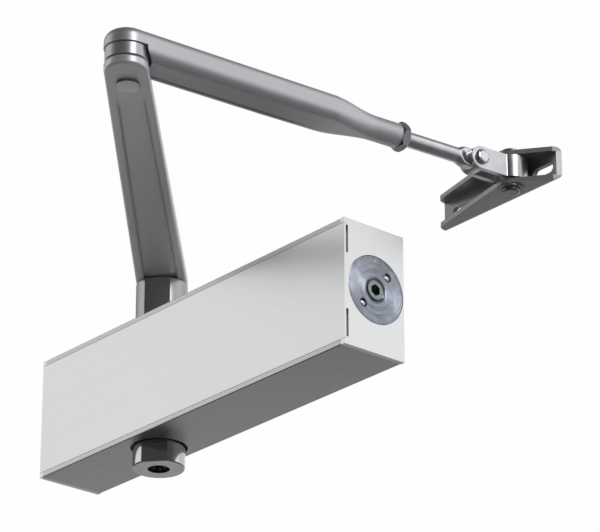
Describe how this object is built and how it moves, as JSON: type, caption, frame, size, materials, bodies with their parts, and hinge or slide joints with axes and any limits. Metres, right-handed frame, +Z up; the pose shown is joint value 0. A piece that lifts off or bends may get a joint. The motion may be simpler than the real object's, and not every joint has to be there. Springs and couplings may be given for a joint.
{
  "type": "hydraulic door closer",
  "caption": "Overhead door closer: oblong hydraulic body with brushed front and end plates, rack and pinion inside, flat main arm, adjustable forearm and slotted pivot shoe.",
  "frame": {"origin": "centre of the body's flat back face, which goes against the door", "axes": "+X along the body to the spring end with the power adjustment, +Y into the door, +Z up"},
  "size_m": [0.2814, 0.2314, 0.1181],
  "materials": {
    "cast_silver": "satin silver lacquer over extruded aluminium",
    "brushed_plate": "brushed along the body, satin",
    "turned_plug": "turned, faintly blue, satin",
    "bright_ball": "polished",
    "socket_screw": "turned, bright",
    "boss_steel": "turned, satin",
    "hard_steel": "ground",
    "cast_piston": "ground outside, milled rack",
    "spring_steel": "blackened and oiled",
    "seal_rubber": "matt",
    "nylon": "moulded",
    "valve_brass": "turned",
    "arm_silver": "satin silver paint",
    "bright_zinc": "bright zinc",
    "strap_steel": "bright zinc, folded",
    "shoe_bronze": "dark silver-bronze paint, satin",
    "washer_dark": "hard dark polymer"
  },
  "bodies": {
    "housing": {"closer_body": "cast_silver", "front_plate": "brushed_plate", "stud_sockets": "nylon", "end_plate_right": "brushed_plate", "end_plate_left": "brushed_plate", "end_plug_right": "turned_plug", "end_plug_left": "turned_plug", "plug_seals": "seal_rubber", "plug_balls": "bright_ball", "power_screw_seal": "seal_rubber", "main_spring": "spring_steel", "upper_bearing": "hard_steel", "lower_bearing": "hard_steel", "upper_bearing_cap": "hard_steel", "lower_bearing_cap": "hard_steel", "spindle_seals": "seal_rubber", "valve_seals": "seal_rubber"},
    "spindle": {"pinion_spindle": "hard_steel", "upper_boss": "boss_steel", "lower_boss": "boss_steel", "main_arm": "arm_silver", "arm_washer": "bright_zinc", "arm_screw": "bright_zinc", "elbow_pin": "bright_zinc", "elbow_spacer": "bright_zinc", "elbow_washers": "washer_dark"},
    "piston": {"piston": "cast_piston", "piston_rings": "seal_rubber", "check_ring": "hard_steel"},
    "check_ball": {"check_ball": "bright_ball"},
    "power_screw": {"power_screw": "socket_screw"},
    "spring_seat": {"spring_seat": "hard_steel"},
    "closing_valve": {"closing_valve_screw": "valve_brass"},
    "latching_valve": {"latching_valve_screw": "valve_brass"},
    "forearm": {"forearm": "arm_silver"},
    "lock_nut": {"lock_nut": "bright_zinc"},
    "rod": {"adjusting_rod": "bright_zinc"},
    "stirrup": {"stirrup": "strap_steel", "eye_rivet": "bright_zinc", "shoe_bush": "nylon"},
    "shoe": {"shoe_bracket": "shoe_bronze", "shoe_pin": "bright_zinc", "shoe_washers": "bright_zinc"}
  },
  "joints": [
    {"name": "spindle_turn", "type": "hinge", "parent": "housing", "child": "spindle", "pos_m": [-0.043, -0.0172, 0], "axis": [0, 0, 1], "range_deg": [0, 170], "stiffness_Nm_per_rad": 8, "springref_deg": -85.94},
    {"name": "piston_slide", "type": "slide", "parent": "housing", "child": "piston", "axis": [1, 0, 0], "range_m": [0, 0.0223], "deforming": ["main_spring"]},
    {"name": "check_ball_lift", "type": "slide", "parent": "piston", "child": "check_ball", "axis": [1, 0, 0], "range_m": [0, 0.0012]},
    {"name": "power_screw_turn", "type": "hinge", "parent": "housing", "child": "power_screw", "pos_m": [0.1, -0.0172, 0], "axis": [1, 0, 0], "range_deg": [-1720, 1720]},
    {"name": "spring_seat_slide", "type": "slide", "parent": "housing", "child": "spring_seat", "axis": [1, 0, 0], "range_m": [-0.006, 0.006], "deforming": ["main_spring"]},
    {"name": "closing_valve_turn", "type": "hinge", "parent": "housing", "child": "closing_valve", "pos_m": [-0.105, -0.0172, 0.019], "axis": [1, 0, 0], "range_deg": [-360, 360]},
    {"name": "latching_valve_turn", "type": "hinge", "parent": "housing", "child": "latching_valve", "pos_m": [-0.105, -0.0172, -0.019], "axis": [1, 0, 0], "range_deg": [-360, 360]},
    {"name": "elbow_turn", "type": "hinge", "parent": "spindle", "child": "forearm", "pos_m": [0.12577, -0.1705, 0.0655], "axis": [0, 0, 1], "range_deg": [-260, 28]},
    {"name": "lock_nut_travel", "type": "slide", "parent": "forearm", "child": "lock_nut", "axis": [0.0906, 0.9959, 0], "range_m": [0, 0.008]},
    {"name": "rod_adjust", "type": "slide", "parent": "forearm", "child": "rod", "axis": [0.0906, 0.9959, 0], "range_m": [-0.015, 0.025]},
    {"name": "eye_tilt", "type": "hinge", "parent": "rod", "child": "stirrup", "pos_m": [0.14302, 0.01902, 0.0655], "axis": [-0.9959, 0.0906, 0], "range_deg": [-20, 20]},
    {"name": "shoe_swivel", "type": "hinge", "parent": "stirrup", "child": "shoe", "pos_m": [0.14491, 0.03983, 0.0655], "axis": [0, 0, 1], "range_deg": [-80, 55]}
  ],
  "couplings": [
    {"joint": "piston_slide", "follows": "spindle_turn", "m_per_rad": 0.0075},
    {"joint": "spring_seat_slide", "follows": "power_screw_turn", "m_per_rad": 0.00019894}
  ]
}
